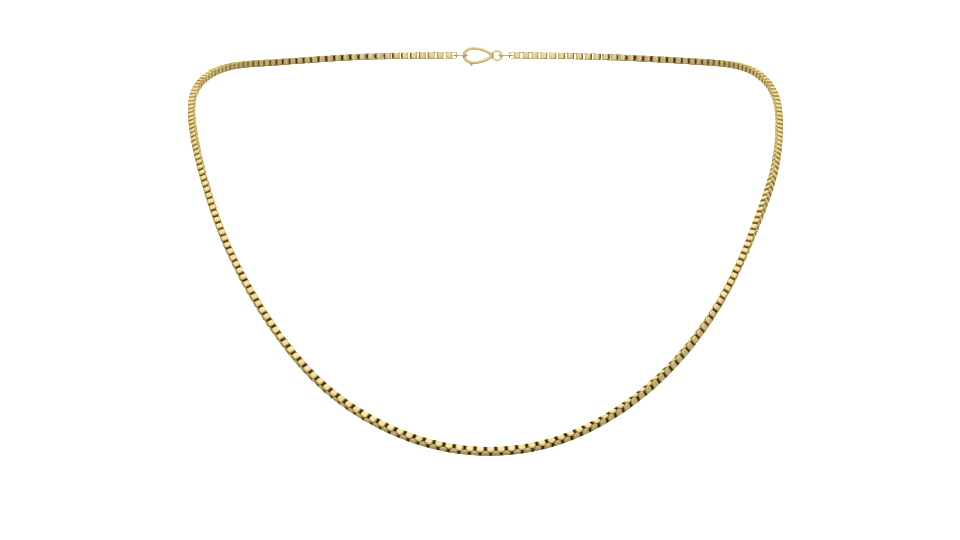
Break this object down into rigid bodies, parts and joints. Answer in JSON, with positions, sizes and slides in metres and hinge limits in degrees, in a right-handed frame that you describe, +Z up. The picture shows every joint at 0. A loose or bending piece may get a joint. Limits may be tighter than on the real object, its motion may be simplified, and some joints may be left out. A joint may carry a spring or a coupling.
{
  "type": "box chain necklace",
  "caption": "Neck chain of interlocking square box links in polished yellow gold, closed at the nape by a lobster clasp between rings.",
  "frame": {"origin": "inner side of the clasp's middle, where the closed necklace rests against the nape", "axes": "+X towards the viewer's right as seen from the front, +Y backwards out of the nape, +Z up; the front of the loop hangs towards -Y and -Z"},
  "size_m": [0.1223, 0.1411, 0.0835],
  "materials": {
    "link_gold": "polished yellow gold strip",
    "clasp_gold": "polished yellow gold wire and casting"
  },
  "bodies": {
    "root": {"chain": "link_gold", "end_link_left": "link_gold", "end_link_right": "link_gold", "end_ring": "clasp_gold", "clasp_ring": "clasp_gold", "clasp": "clasp_gold"}
  },
  "joints": []
}
